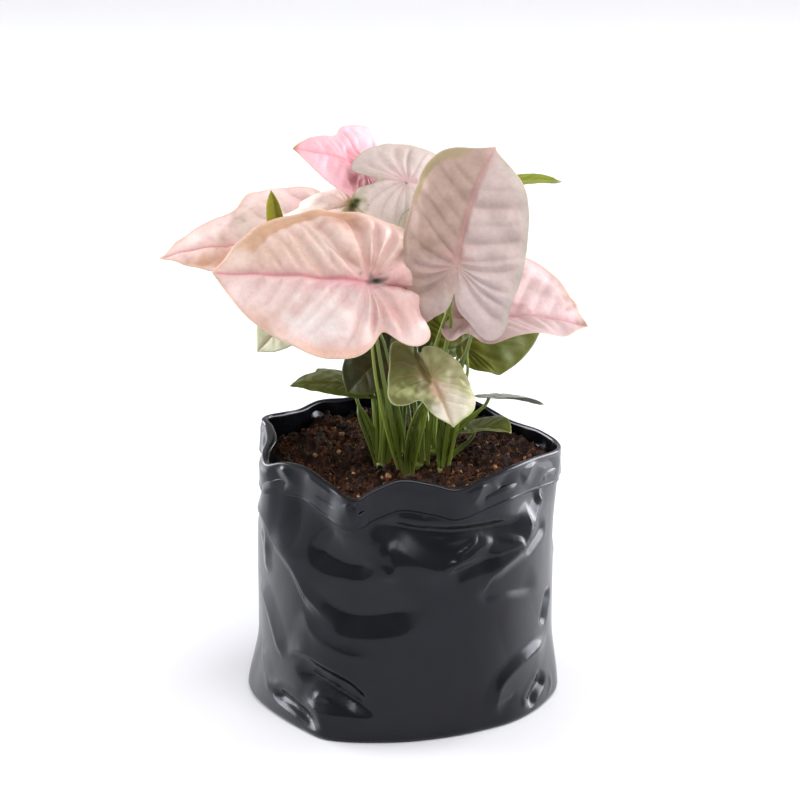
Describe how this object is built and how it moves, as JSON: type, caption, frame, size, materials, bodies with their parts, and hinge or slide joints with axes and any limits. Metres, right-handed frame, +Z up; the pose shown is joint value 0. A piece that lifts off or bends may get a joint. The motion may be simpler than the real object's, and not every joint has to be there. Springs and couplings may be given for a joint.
{
  "type": "potted arrowhead plant",
  "caption": "Young arrowhead vine with pink, cream and green leaves, growing in soil in a round black film nursery bag with a turned down rim.",
  "frame": {"origin": "centre of the flat bottom of the bag, where it stands", "axes": "+Z up; the front of the plant, as pictured, looks along -Y; +X to the right of that view"},
  "size_m": [0.2119, 0.1652, 0.2905],
  "materials": {
    "bag_film": "gloss",
    "potting_soil": "matte",
    "stalk": "satin",
    "leaf_pink": "satin",
    "leaf_mauve": "satin",
    "leaf_cream": "satin",
    "leaf_pale_green": "satin",
    "leaf_green": "satin"
  },
  "bodies": {
    "root": {"grow_bag": "bag_film", "soil": "potting_soil", "shoot_left": "stalk", "shoot_front": "stalk", "shoot_back_left": "stalk", "shoot_middle": "stalk", "shoot_right": "stalk", "shoot_back": "stalk", "leaf_front_left": "leaf_pink", "leaf_front_right": "leaf_mauve", "leaf_right_pink": "leaf_pink", "leaf_right_under": "leaf_green", "leaf_front_small": "leaf_pale_green", "leaf_low_left": "leaf_green", "leaf_low_right_grey": "leaf_pale_green", "leaf_low_right": "leaf_green", "leaf_far_left": "leaf_mauve", "leaf_new_rolled": "leaf_pale_green", "leaf_top_left": "leaf_pink", "leaf_top_middle": "leaf_mauve", "leaf_cream": "leaf_cream", "leaf_behind_right": "leaf_pale_green", "leaf_tip_right": "leaf_pale_green", "leaf_left_under": "leaf_pale_green", "leaf_inner_left": "leaf_green", "leaf_inner_middle": "leaf_green", "leaf_rear_right": "leaf_green", "leaf_rear_left": "leaf_green", "leaf_rear_low": "leaf_green"}
  },
  "joints": []
}
